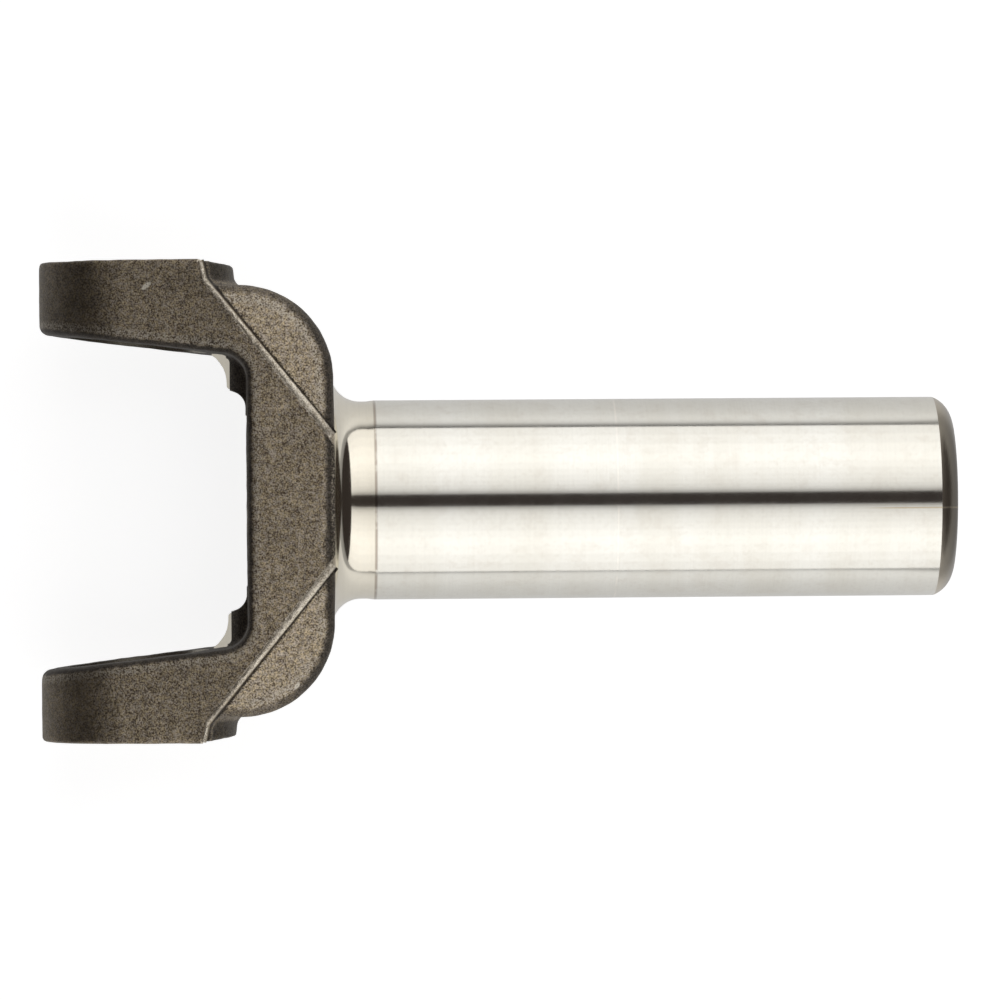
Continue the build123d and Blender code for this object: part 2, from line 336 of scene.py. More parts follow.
def line_points(corners, step):
    """Points a step apart along straight runs between corners."""
    points = []
    for start, end in zip(corners, corners[1:]):
        count = max(1, round((end - start).length / step))
        points += [start.lerp(end, i / count) for i in range(count)]
    return points + [corners[-1]]


def flash_ring(path, i, across, upward):
    """The ridge's section at one point of its path. Each swing reads noise of its own."""
    point = path[i]
    ahead = path[min(i + 1, len(path) - 1)] - path[max(i - 1, 0)]
    sideways = Vector((-ahead.y, ahead.x)).normalized()
    seed = Vector((point.x, point.y * across, quarter_seed * upward)) / mm
    spread = narrowest + widening * max(0, (point.x - parting_kink.x) / (parting_foot.x - parting_kink.x))
    width = flash_width * (spread + width_swing * noise.noise(seed / width_grain))
    swing = height_swing * noise.noise(seed / height_grain + Vector((5, 0, 0)))
    fade = min(1, (len(path) - 1 - i) / fade_steps + faded_height)
    height = flash_height * (height_share + swing)
    drift = drift_swing * noise.noise(seed / drift_grain + Vector((0, 9, 0)))
    crest = side_half_width(point.x)
    ring = []
    for n, (place, rise) in enumerate(flash_section):
        ragged = ragged_swing * noise.noise(seed / ragged_grain + Vector((0, 0, 3 * n)))
        beside = place * width + drift + ragged
        spot = point + sideways * -beside
        level = crest + rise * height * fade
        if rise == 0:
            level = level - max(0, beside) * 2 * math.tan(side_draft) - flash_root / 4
        ring.append(Vector((spot.x, spot.y * across, level * upward)))
    for place in (flash_section[-1][0], flash_section[0][0]):
        spot = point - sideways * (place * width * root_share)
        ring.append(Vector((spot.x, spot.y * across, (crest - flash_root) * upward)))
    return ring


def flash_strip(name, across, upward):
    """The ridge on one of the four quarters: across and upward are the signs of its Y and Z."""
    path = line_points([flash_start, parting_kink, parting_foot - flash_inset], flash_step)
    return loft(name, [flash_ring(path, i, across, upward) for i in range(len(path))])


strips = [flash_strip(f"flash_{n}", across, upward)
          for n, (across, upward) in enumerate(((1, 1), (-1, 1), (1, -1), (-1, -1)))]
print(len(strips), "strips of flash, each with", len(strips[0].data.polygons), "faces")

# %% [markdown]
# What is machined has to be crisp: bores, grooves, the faced crotch and the ground barrel.
# Each is a lathe tool, a profile spun about an axis with many steps, and is joined to the
# forging or cut from it by a boolean. Blender's manifold solver does that in no time, and
# leaves the edges as sharp as a cutter does.

# %% Turned tools
turn_steps = 160


def lathe(name, profile, axis):
    """A solid of revolution. The profile is a list of (place along the axis, radius)."""
    points, rings = [], []
    for along, radius in profile:
        count = 1 if radius == 0 else turn_steps
        rings.append([len(points) + n for n in range(count)])
        for n in range(count):
            angle = 2 * math.pi * n / turn_steps
            side, up = radius * math.cos(angle), radius * math.sin(angle)
            points.append((along, side, up) if axis == "X" else (up, along, side))
    faces = []
    for first, second in zip(rings, rings[1:] + rings[:1]):
        if len(first) == len(second) == 1:
            continue
        for n in range(turn_steps):
            ends = ((first, n), (first, n + 1), (second, n + 1), (second, n))
            corners = [ring[end % len(ring)] for ring, end in ends]
            faces.append(list(dict.fromkeys(corners)))
    made = mesh_object(name, points, faces)
    outward(made)
    return made


def arc(centre, radius, start, end, count=8):
    """Points of a profile's arc, angles in degrees from the axis' direction."""
    turns = [math.radians(start + (end - start) * n / count) for n in range(count + 1)]
    return [(centre[0] + radius * math.cos(t), centre[1] + radius * math.sin(t)) for t in turns]


def join_or_cut(body, tool, operation):
    """Works the tool into the body, and removes it."""
    modifier = body.modifiers.new(tool.name, "BOOLEAN")
    modifier.object = tool
    modifier.operation = operation
    modifier.solver = "MANIFOLD"
    seen = body.evaluated_get(bpy.context.evaluated_depsgraph_get())
    worked = bpy.data.meshes.new_from_object(seen)
    body.modifiers.clear()
    body.data = worked
    bpy.data.objects.remove(tool)
    print(f"{operation.lower()}: {len(worked.polygons)} faces")


for strip in strips:
    join_or_cut(yoke, strip, "UNION")

# %% [markdown]
# The barrel is turned and ground: a fillet where it grows out of the fork, a shallow relief
# behind it, the long ground land, and a round nose at the open end that leads it into the
# oil seal. Grinding stops at the nose's edge, and the nose keeps the lathe's finish. All
# of that is one profile on the lathe, with arcs that meet its straight runs where they
# should, which bevels on a cylinder would only come near.

# %% The barrel
neck_relief = 0.18 * mm
neck_fillet = 5.5 * mm
neck_margin = 0.3 * mm
neck_land = 1.2 * mm
relief_ramp = 1.4 * mm
lead_in_angle = math.radians(38)
lip_width = 1.14 * mm
lip_radius = 0.6 * mm
neck_radius = barrel_radius - neck_relief
neck_foot = min(side_half_width(base_position), shoulder_half_height - shoulder_radius) - neck_margin
neck_turn = math.asin((neck_radius + neck_fillet - neck_foot) / neck_fillet)
neck_end = base_position + neck_fillet * math.cos(neck_turn)
ground_start = neck_end + neck_land + relief_ramp
lead_in_drop = barrel_radius - pilot_radius - lip_width
lead_in_length = lead_in_drop / math.tan(lead_in_angle)
land_end = barrel_end - lead_in_length
nose_radius = 5.5 * mm
nose_break = math.radians(20)
nose_centre = (land_end - nose_radius * math.sin(nose_break),
               barrel_radius - nose_radius * math.cos(nose_break))
nose_turn = math.asin((barrel_end - lip_radius - nose_centre[0]) / (nose_radius - lip_radius))
lip_centre = (barrel_end - lip_radius, nose_centre[1] + (nose_radius - lip_radius) * math.cos(nose_turn))
core_start = crotch_depth + 5 * mm
foot_start = base_position - 1 * mm
neck_centre = (neck_end, neck_radius + neck_fillet)
nose_from, nose_to = 90 - math.degrees(nose_break), 90 - math.degrees(nose_turn)
fine_steps = 16
barrel_profile = [(core_start, 0), (core_start, neck_radius), (foot_start, neck_radius)]
barrel_profile += [(foot_start, neck_foot)]
barrel_profile += arc(neck_centre, neck_fillet, 180 + math.degrees(neck_turn), 270, fine_steps)
barrel_profile += [(neck_end + neck_land, neck_radius), (ground_start, barrel_radius)]
barrel_profile += arc(nose_centre, nose_radius, nose_from, nose_to, fine_steps)
barrel_profile += arc(lip_centre, lip_radius, nose_to, 0)[1:]
barrel_profile += [(barrel_end, 0)]
join_or_cut(yoke, lathe("barrel", barrel_profile, "X"), "UNION")

# %% [markdown]
# The crotch has to clear the cross that turns between the ears, so it is faced with two
# turned cutters about the barrel's axis, a wide one and a deeper one.

# %% The crotch
facing_position, facing_radius, facing_corner = 17.6 * mm, 27.4 * mm, 0.8 * mm
counterbore_position, counterbore_radius, counterbore_corner = 20.6 * mm, 21.4 * mm, 2.4 * mm


def flat_cutter(name, position, radius, corner):
    """A cutter for a flat floor with a rounded corner."""
    rounded = arc((position - corner, radius - corner), corner, 90, 0)
    return lathe(name, [(0, 0), (0, radius)] + rounded + [(position, 0)], "X")


facing = flat_cutter("facing", facing_position, facing_radius, facing_corner)
join_or_cut(yoke, facing, "DIFFERENCE")
counterbore = flat_cutter("counterbore", counterbore_position, counterbore_radius, counterbore_corner)
join_or_cut(yoke, counterbore, "DIFFERENCE")

# %% [markdown]
# A thin web of steel is left in each corner of the gap. It ends in an arc, slants down
# towards the ears and catches the light. Its outline, in mm, runs along that arc from the
# ear to the counterbore and goes back inside the steel, where the union swallows it.

# %% The webs in the corners
web_arc = ((14.2, 28.05), (15.0, 27.45), (15.8, 26.45), (16.4, 25.5), (16.8, 24.4), (17.0, 23.2),
           (17.05, 21.9), (17.35, 21.5))
web_outline = web_arc + ((18.4, 21.5), (18.4, 29.0), (14.2, 29.0))
web_start = web_arc[0][0] * mm
web_half_thickness = 0.6 * mm
web_slope = 1.3


def web_ring(across, above):
    """The outline of one web, that far above its middle layer."""
    return [(x * mm, y * mm * across, above + web_slope * (x * mm - facing_position))
            for x, y in web_outline]


for name, across in (("web_low", -1), ("web_high", 1)):
    layers = [web_ring(across, above) for above in (-web_half_thickness, web_half_thickness)]
    join_or_cut(yoke, loft(name, layers), "UNION")

# %% [markdown]
# One bore runs through the barrel: at the fork the seat that the soft plug is pressed into,
# then the bore that the spline is cut in, and at the open end the wider pilot bore. The
# cutter runs a little past the steel, since two faces that lie in one plane make a boolean
# guess.

# %% The bore
overrun = 1 * mm
plug_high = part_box("core_plug")[1]
seat_floor = plug_high.x
seat_radius = plug_high.y + 0.01 * mm
spline_teeth = 27
spline_root_teeth = 1.35
spline_minor_radius = spline_pitch_radius * (spline_teeth - 1) / spline_teeth
spline_major_radius = spline_pitch_radius * (spline_teeth + spline_root_teeth) / spline_teeth
pilot_floor = barrel_end - pilot_depth
past_end = barrel_end + overrun
bore_profile = [(0, 0), (0, seat_radius), (seat_floor, seat_radius), (seat_floor, spline_minor_radius),
                (pilot_floor - pilot_radius + spline_minor_radius, spline_minor_radius),
                (pilot_floor, pilot_radius), (past_end, pilot_radius), (past_end, 0)]
join_or_cut(yoke, lathe("bore", bore_profile, "X"), "DIFFERENCE")

# %% [markdown]
# The cap bores take the cross's bearing caps. Each has a groove for the snap ring that
# holds its cap, and a chamfer at its outer mouth. One profile cuts all of that at once, and
# the same profile turned round does the other ear.

# %% Cap bores
groove_inset, groove_width, groove_depth = 4.87 * mm, 1.6 * mm, 1.0 * mm
bore_chamfer = 0.8 * mm
groove_start = half_span - groove_inset
groove_end = groove_start + groove_width
groove_radius = cap_bore_radius + groove_depth
past_side = half_span + overrun
cap_profile = [(0, 0), (0, cap_bore_radius), (groove_start, cap_bore_radius), (groove_start, groove_radius),
               (groove_end, groove_radius), (groove_end, cap_bore_radius),
               (half_span - bore_chamfer, cap_bore_radius),
               (past_side, cap_bore_radius + bore_chamfer + overrun), (past_side, 0)]
for side in (1, -1):
    profile = [(along * side, radius) for along, radius in cap_profile]
    join_or_cut(yoke, lathe("cap_bore", profile, "Y"), "DIFFERENCE")

# %% [markdown]
# The internal spline has 27 teeth with involute flanks. One space between two teeth is
# worked out from the involute, and the cutter is all of them as one star-shaped bar, so
# that a single boolean cuts them.

# %% The spline
spline_pressure = math.radians(30)
spline_overcut = 0.05 * mm
spline_lead = 0.5 * mm
flank_shares = (0, 0.33, 0.67, 1)


def spline_outline():
    """The spline cutter's outline about the barrel's axis, as (y, z) points."""
    base_circle = spline_pitch_radius * math.cos(spline_pressure)
    half_space = math.pi / spline_teeth / 2
    start_radius = spline_minor_radius - spline_overcut
    flank = []
    for share in flank_shares:
        radius = start_radius + share * (spline_major_radius - start_radius)
        angle = math.acos(base_circle / radius)
        involute = math.tan(spline_pressure) - spline_pressure - math.tan(angle) + angle
        flank.append((radius, half_space + involute))
    points = []
    for tooth in range(spline_teeth):
        middle = 2 * math.pi * tooth / spline_teeth
        both = [(radius, middle - turn) for radius, turn in flank]
        both += [(radius, middle + turn) for radius, turn in reversed(flank)]
        points += [(radius * math.sin(turn), radius * math.cos(turn)) for radius, turn in both]
    return points


star = spline_outline()
star_ends = [[(x, y, z) for y, z in star] for x in (seat_floor - spline_lead, pilot_floor)]
join_or_cut(yoke, loft("spline", star_ends), "DIFFERENCE")

# %% [markdown]
# Where the flash runs nearly flat on the skin, the booleans leave slivers so thin that they
# close up: two faces back to back on the same corners. Blender calls such a mesh invalid,
# so both faces of each pair go.

# %% Closed slivers
def drop_closed_slivers(made):
    """Removes faces that lie back to back on the same corners."""
    shape = bmesh.new()
    shape.from_mesh(made.data)
    same = {}
    for face in shape.faces:
        same.setdefault(frozenset(face.verts), []).append(face)
    doubled = [face for faces in same.values() if len(faces) > 1 for face in faces]
    bmesh.ops.delete(shape, geom=doubled, context="FACES_ONLY")
    shape.to_mesh(made.data)
    shape.free()
    made.data.validate()
    print("closed slivers removed:", len(doubled), "faces")


drop_closed_slivers(yoke)

# %% [markdown]
# Shader maths reads best as plain arithmetic. This small class wraps a socket of a shader
# tree, so that sums and products of sockets add the Math nodes by themselves, and one
# method adds any other node.

# %% Arithmetic on sockets
class Shade:
    """A socket of a shader tree that Python's operators work on."""

    def __init__(self, tree, socket):
        self.tree = tree
        self.socket = socket

    def node(self, kind, settings=None, inputs=None, output=0):
        """Adds a node of that type: its settings first, then its sockets' values or links."""
        node = self.tree.nodes.new(kind)
        for name, value in (settings or {}).items():
            setattr(node, name, value)
        for name, value in (inputs or {}).items():
            if isinstance(value, Shade):
                self.tree.links.new(value.socket, node.inputs[name])
            else:
                node.inputs[name].default_value = value
        return Shade(self.tree, node.outputs[output])

    def math(self, operation, *others):
        """A Math node on this value and the others."""
        values = dict(enumerate((self, *others)))
        return self.node("ShaderNodeMath", {"operation": operation}, values)

    def __add__(self, other):
        return self.math("ADD", other)

    def __sub__(self, other):
        return self.math("SUBTRACT", other)

    def __mul__(self, other):
        return self.math("MULTIPLY", other)

    def __truediv__(self, other):
        return self.math("DIVIDE", other)

    def __rsub__(self, other):
        return (self * -1) + other

    def __rtruediv__(self, other):
        return self.math("POWER", -1) * other

    __radd__ = __add__
    __rmul__ = __mul__

    def either(self, other):
        """The larger of the two."""
        return self.math("MAXIMUM", other)

    def both(self, other):
        """The smaller of the two."""
        return self.math("MINIMUM", other)

    def step(self, low, high):
        """Rises smoothly from 0 to 1 as this value goes from low to high."""
        settings = {"interpolation_type": "SMOOTHSTEP", "clamp": True}
        inputs = {"Value": self, "From Min": low, "From Max": high}
        return self.node("ShaderNodeMapRange", settings, inputs)

    def noise(self, size, detail=2.0, roughness=0.5, stretch=(1, 1, 1)):
        """Noise at this point, with grains of about that size in metres."""
        scaled = self.node("ShaderNodeVectorMath", {"operation": "MULTIPLY"}, {0: self, 1: stretch})
        inputs = {"Vector": scaled, "Scale": 1 / size, "Detail": detail, "Roughness": roughness}
        return scaled.node("ShaderNodeTexNoise", {"noise_dimensions": "3D"}, inputs)

    def axes(self):
        """The three parts of this point, each as a value."""
        return [self.node("ShaderNodeSeparateXYZ", {}, {0: self}, output=n) for n in range(3)]

    def size(self):
        """This value without its sign."""
        return self.math("ABSOLUTE")

    def times(self, factor):
        """This colour, made lighter or darker by a factor."""
        return self.node("ShaderNodeVectorMath", {"operation": "SCALE"}, {0: self, "Scale": factor})

    def blend(self, first, second):
        """The first colour where this value is 0, the second where it is 1."""
        settings = {"data_type": "RGBA", "clamp_factor": True}
        return self.node("ShaderNodeMix", settings, {0: self, 6: first, 7: second}, output=2)


# %% [markdown]
# Each finish is a material whose point in space comes from the object's own coordinates.
# The usual way, a picture wrapped round the piece, would need seams and would blur near by;
# noise and distances in space need neither.

# %% Materials and colours
def colour(red, green, blue):
    """A colour as it looks on screen, 0 to 255 each, as Blender's own linear values."""
    def linear(level):
        share = level / 255
        return share / 12.92 if share <= 0.04045 else ((share + 0.055) / 1.055) ** 2.4
    return (linear(red), linear(green), linear(blue), 1.0)


def new_material(name, metallic=1.0, roughness=0.5):
    """A material with its shader node and the point being shaded, wrapped for arithmetic."""
    material = bpy.data.materials.new(name)
    material.use_nodes = True
    tree = material.node_tree
    shader = tree.nodes["Principled BSDF"]
    shader.inputs["Metallic"].default_value = metallic
    shader.inputs["Roughness"].default_value = roughness
    place = Shade(tree, tree.nodes.new("ShaderNodeTexCoord").outputs["Object"])
    return material, shader, place


def feed(shade, shader, name):
    """Links a value or colour to one of the shader's own sockets."""
    shade.tree.links.new(shade.socket, shader.inputs[name])


def feed_bump(height, shader, depth):
    """Bumps the surface by a height from 0 to 1, that many metres deep."""
    bump = height.node("ShaderNodeBump", {}, {"Height": height, "Distance": depth}, "Normal")
    feed(bump, shader, "Normal")


black, white = colour(0, 0, 0), colour(255, 255, 255)
print("mid grey on screen is", round(colour(128, 128, 128)[0], 3), "in Blender's own values")

# %% [markdown]
# Where light and shade are painted on the forging follows its shape. These masks are distances on the
# flat side: how far past the parting line, how far in from the gap's edge and how far in
# from the shoulder's outline.

# %% Distances for the skin
def past_parting(x, wide):
    """How far a point lies on the barrel's side of the parting line."""
    sides = []
    parting_top = Vector((parting_top_x, half_span))
    for start, end in ((parting_top, parting_kink), (parting_kink, parting_foot)):
        run = (end - start).normalized()
        sides.append((x - start.x) * -run.y + (wide - start.y) * run.x)
    return sides[0].both(sides[1])


def into_steel(x, wide):
    """How far a point lies behind the edge of the gap."""
    wall = (wide + x * math.tan(gap_draft) - gap_at_bores / 2) * math.cos(gap_draft)
    wall = (wall + crotch_corner_radius).either(0)
    floor = (x - crotch_depth + crotch_corner_radius).either(0)
    return (wall * wall + floor * floor).math("SQRT") - crotch_corner_radius


def inside_shoulder(x, wide):
    """How far a point lies within the rounded outline of base and shoulder."""
    along = (x - base_position + shoulder_radius).either(0)
    out = (wide - shoulder_half_height + shoulder_radius).either(0)
    return shoulder_radius - (along * along + out * out).math("SQRT")


def spot(x, y, place, long, short, turn):
    """1 inside a small mark at that place, 0 outside it, turned by that many degrees."""
    sine, cosine = math.sin(math.radians(turn)), math.cos(math.radians(turn))
    along = ((x - place[0]) * cosine + (y - place[1]) * sine) / long
    across = ((y - place[1]) * cosine - (x - place[0]) * sine) / short
    return (along * along + across * across).step(1.2, 0.3)


# %% [markdown]
# The forged skin is steel that was scaled in the forge and shot blasted after: dark and
# grainy, with yellow-brown and grey flecks. Its layers share the same noises, from the
# finest grain to wide patches, and the same distances, so those are made once.

# %% What the skin's layers share
class SkinPoint:
    """A point on the skin, with the noises there and where on the fork it lies."""

    def __init__(self, place):
        self.x, self.y, self.z = place.axes()
        self.wide = self.y.size()
        self.grain = place.noise(0.32 * mm, detail=2.0, roughness=0.6)
        self.dents = place.noise(1.2 * mm, detail=2.0)
        self.flecks = place.noise(0.6 * mm, detail=2.0)
        self.clouds = place.noise(2.8 * mm, detail=3.0)
        self.patches = place.noise(8 * mm, detail=3.0)
        self.past = past_parting(self.x, self.wide)
        self.rim = into_steel(self.x, self.wide)
        self.within = inside_shoulder(self.x, self.wide)
        # facet, tip and boss mark where painted light and shade go into the skin's colour.
        self.facet = self.past.step(0.2 * mm, 1.2 * mm)
        self.tip = self.x.step(-4 * mm, -11 * mm)
        self.boss = self.wide.step(41.2 * mm, 42.2 * mm) * self.past.step(0.8 * mm, 1.6 * mm)
        level = (self.grain * 0.75 + self.dents * 0.25).step(0.32, 0.68)
        # Toward the ears' tips the grain is dimmed and flattened too, as part of the painted shade there.
        self.level = level * (1 - self.tip * 0.4) + self.tip * 0.16


# %% [markdown]
# The skin's colour lies under everything, with light and shade painted into it. The facets
# behind the parting line and the base are painted lightest, the ear at -Y is painted lighter,
# and the ears' tips are darkest as painted shade. Painted shade also lies on the bosses and
# beside the flash. One colour with noise on it would do for a casting seen from afar; near by,
# the painted light and shade give each part a tone of its own.

# %% The skin, with painted light and shade
def skin_with_painted_light(at):
    """The skin before any wear: its grain and patches, with painted light on the facets, the base and the
    ear at -Y, and painted shade on the tips, the bosses and beside the flash.
    """
    base = at.x.step(16 * mm, 23 * mm)
    # Painted shadow: beside marks a soft dark band on the ear's side of the flash, broken up by patches.
    beside = at.past.step(-3.4 * mm, -1.2 * mm) * at.past.step(0.2 * mm, -0.4 * mm)
    # Painted light: the base and the facets behind the parting line are made lighter; painted shade makes
    # the ears' tips darker.
    tone_and_painted_light = 1.0 + base.either(at.facet) * 0.36 + at.facet * 0.1 - at.tip * 0.34
    tone_and_painted_light = tone_and_painted_light + (at.patches - 0.5) * 0.45 + (at.clouds - 0.5) * 0.45
    tone_and_painted_light = tone_and_painted_light - beside * at.patches.step(0.3, 0.6) * 0.22
    # Painted light: the ear at -Y is made lighter than the one at +Y, less so on the facets.
    tone_and_painted_light = tone_and_painted_light + at.y.step(0, -25 * mm) * (0.2 - at.facet * 0.08)
    # Painted shade: the boss wall round each cap bore is made much darker, as it lies recessed in shadow.
    tone_and_painted_light = tone_and_painted_light * (1 - at.boss * 0.8)
    pit, ochre, grey = colour(66, 56, 47), colour(188, 172, 142), colour(179, 168, 153)
    fleck = at.flecks.step(0.38, 0.64).blend(ochre, grey)
    return at.level.blend(pit, fleck).times(tone_and_painted_light)


# %% [markdown]
# Every rounded edge is painted dark, as shade where it turns away from the light, and pale
# specks beside it show where forgings have rubbed against each other in the bin. The dents
# shift the masks' borders, because a border that follows the shape exactly looks drawn.

# %% Edges
def worn_and_shaded_edges(at, skin):
    """The skin with pale rubbed specks and its rounded edges painted dark as shade, and how far each point
    belongs to one.
    """
    soft = (at.dents - 0.5) * (2.2 * mm)
    loose, tight = at.within + soft, at.rim + soft * 0.3
    band = loose.step(1.5 * mm, 2.3 * mm) * loose.step(4.0 * mm, 2.8 * mm) * at.facet
    edge = tight.step(0.8 * mm, 1.3 * mm) * tight.step(2.8 * mm, 1.8 * mm)
    rubbed = (band * at.patches.step(0.36, 0.52)).either(edge * 0.75) * at.grain.step(0.42, 0.6)
    skin = (rubbed * 0.6).blend(skin, colour(204, 198, 186))
    # Painted shade: the rounded shoulder edge, stronger towards the base, and the gap's rim are made dark.
    shoulder_shade = (at.within + soft * 0.5).step(2.3 * mm, 1.1 * mm) * at.x.step(13 * mm, 15 * mm)
    shoulder_shade = shoulder_shade * (1 - at.boss) * (0.55 + at.x.step(24 * mm, 34 * mm) * 0.3)
    rim_shade = tight.step(1.2 * mm, 0.6 * mm)
    rounded = shoulder_shade.either(rim_shade * 0.85)
    # The dark colour here is painted shade on the rounded edges, with the grain in it.
    edge_shade_colour = (at.level * 0.6 + at.patches * 0.4).blend(colour(42, 40, 39), colour(82, 77, 72))
    return rounded.blend(skin, edge_shade_colour), rounded


# %% [markdown]
# The flash is bright where the trimming die sheared it, most of all towards the barrel and
# on the ears' outer sides, and a dark line is painted behind it as the shadow it casts.

# %% The trimmed flash
def trimmed_flash(at, skin):
    """The skin with the flash on it and a painted shadow line behind it, and how far each point belongs to
    the flash.
    """
    ragged = at.past + (at.grain - 0.5) * (0.6 * mm)
    # Painted shadow: a dark line just behind the flash, on the barrel's side.
    shadow = ragged.step(0.45 * mm, 0.6 * mm) * ragged.step(1.25 * mm, 0.85 * mm)
    skin = (shadow * 0.85).blend(skin, colour(30, 24, 20))
    half = (ragged + 0.12 * mm).size() - at.x.step(12 * mm, 37 * mm) * (0.28 * mm)
    flash = half.step(0.58 * mm, 0.34 * mm) * at.z.size().step(17 * mm, 18.5 * mm)
    bright = at.patches.step(0.3, 0.6) * 0.3 + at.x.step(14 * mm, 34 * mm) * 0.35
    bright = (bright + at.wide.step(41 * mm, 44 * mm) * 0.4 + 0.45).both(1.0)
    bright = bright * (0.6 + at.clouds.step(0.3, 0.55) * 0.4)
    cream = at.grain.step(0.32, 0.58).blend(colour(184, 170, 148), colour(250, 241, 224))
    return (flash * bright).blend(skin, cream), flash


# %% [markdown]
# Handling leaves marks: the base's foot is rubbed where it meets the barrel, and an ear and
# a shoulder have been knocked. They are few and small, but without them the skin would look
# too even.

# %% Marks of handling
scar_place, scar_turn = (2.0 * mm, 40.7 * mm), 38
nick_place, nick_turn = (29.9 * mm, -35.0 * mm), 50


def handling_marks(at, skin):
    """The skin with the rubbed foot of the base, a scar and a nick."""
    foot = at.x.step(36.4 * mm, 36.9 * mm) * at.wide.step(12 * mm, 11 * mm) * at.grain.step(0.5, 0.62)
    skin = (foot * 0.7).blend(skin, colour(200, 190, 172))
    scar = spot(at.x, at.y, scar_place, 1.2 * mm, 0.5 * mm, scar_turn)
    nick = spot(at.x, at.y, nick_place, 0.8 * mm, 0.4 * mm, nick_turn)
    marks = scar.either(nick) * at.z.step(0, 5 * mm) * at.grain.step(0.25, 0.45)
    return marks.blend(skin, colour(222, 215, 200))


# %% [markdown]
# Now the layers go on top of each other. Some scale is left on the skin, so it is less
# metallic than the barrel. Its rounded edges are a little rougher, the flash is a little
# smoother, and a shallow bump breaks up the shine.

# %% The forged skin
def forged_skin():
    """Shot-blasted forging skin, with bright metal along the trimmed flash."""
    material, shader, place = new_material("forged_skin", metallic=0.8)
    at = SkinPoint(place)
    skin, rounded = worn_and_shaded_edges(at, skin_with_painted_light(at))
    skin, flash = trimmed_flash(at, skin)
    feed(handling_marks(at, skin), shader, "Base Color")
    feed(0.5 + rounded * 0.08 - flash * 0.1, shader, "Roughness")
    feed_bump(at.grain * 0.7 + at.dents * 0.3, shader, 0.16 * mm)
    return material


skin_finish = forged_skin()
print(skin_finish.name, "has", len(skin_finish.node_tree.nodes), "nodes")

# %% [markdown]
# The barrel is ground: fine lines run round it. Handling has left pale stains and a thin
# witness line, where it was held, and the grinding has faintly tinted the steel in bands.
# Such a surface is nearly a mirror, so these layers are faint, and the light does the rest.

# %% Ground steel
witness_place = 91 * mm
scratch_start, scratch_y = 136 * mm, -2.2 * mm


def ground_steel():
    """The barrel's ground surface."""
    material, shader, place = new_material("ground_steel")
    x, y, z = place.axes()
    lines = place.noise(0.22 * mm, detail=2.0, stretch=(1, 0.01, 0.01))
    bands = place.noise(7 * mm, detail=3.0, stretch=(1, 0.15, 0.15))
    stains = place.noise(4 * mm, detail=4.0, roughness=0.6)
    specks = place.noise(0.9 * mm, detail=2.0)

    # Steel tinted in bands, with pale stains on it, and yellower in the neck.
    steel = bands.step(0.3, 0.7).blend(colour(237, 234, 224), colour(243, 241, 233))
    steel = (stains.step(0.5, 0.68) * 0.24).blend(steel, colour(222, 215, 203))
    steel = (specks.step(0.5, 0.7) * 0.12).blend(steel, colour(214, 206, 192))
    steel = (x.step(ground_start + 0.2 * mm, ground_start) * 0.45).blend(steel, colour(240, 229, 205))

    # The line where grinding starts, the witness line and a scratch near the open end.
    step_line = (x - ground_start - 0.1 * mm).size().step(0.4 * mm, 0.1 * mm) * stains.step(0.25, 0.5)
    steel = (step_line * 0.6).blend(steel, colour(128, 108, 92))
    witness = (x - witness_place).size().step(0.26 * mm, 0.1 * mm) * stains.step(0.3, 0.5)
    steel = (witness * 0.5).blend(steel, colour(255, 250, 240))
    scratch = (y - scratch_y).size().step(0.22 * mm, 0.08 * mm)
    scratch = scratch * x.step(scratch_start, scratch_start + 10 * mm) * z.step(0, 5 * mm)
    steel = (scratch * 0.5).blend(steel, colour(226, 204, 158))
    steel = (lines.step(0.25, 0.75) * 0.06).blend(steel, colour(190, 186, 176))

    # The nose past the land isn't ground, and its colour is painted darker towards its end, as shade where
    # it curves away.
    nose = x.step(land_end - 0.05 * mm, land_end + 0.05 * mm)
    turned = bands.step(0.3, 0.7).blend(colour(184, 173, 154), colour(204, 194, 176))
    turned = x.step(land_end + 0.5 * mm, barrel_end).blend(turned, colour(120, 113, 104))
    steel = (nose * (0.8 - scratch * 0.5)).blend(steel, turned)
    feed(steel, shader, "Base Color")
    feed(0.1 + stains.step(0.4, 0.7) * 0.02 + scratch * 0.12 + nose * 0.18, shader, "Roughness")
    feed_bump(lines, shader, 0.0012 * mm)
    return material


# %% [markdown]
# What was bored or faced keeps the lathe's finish: greyer than ground steel, and rougher.

# %% Turned steel
def turned_steel():
    """Bored and faced surfaces."""
    material, shader, place = new_material("turned_steel", roughness=0.3)
    lines = place.noise(0.3 * mm, detail=2.0)
    feed(lines.step(0.2, 0.8).blend(colour(150, 144, 134), colour(190, 186, 176)), shader, "Base Color")
    return material


finishes = [skin_finish, ground_steel(), turned_steel()]
skin_index, ground_index, turned_index = range(len(finishes))
print("finishes:", [material.name for material in finishes])

# %% [markdown]
# Each face gets its finish by where it lies: the barrel's outside and the slanting webs
# shine like ground steel, what a cutter left is turned, and the rest keeps the skin. Every
# edge sharper than a cutter's facets stays sharp, and so do the rings where two stretches
# of the barrel meet at a slight angle.

# %% Which face has which finish
hair = 0.02 * mm
sharp_angle = math.radians(32)


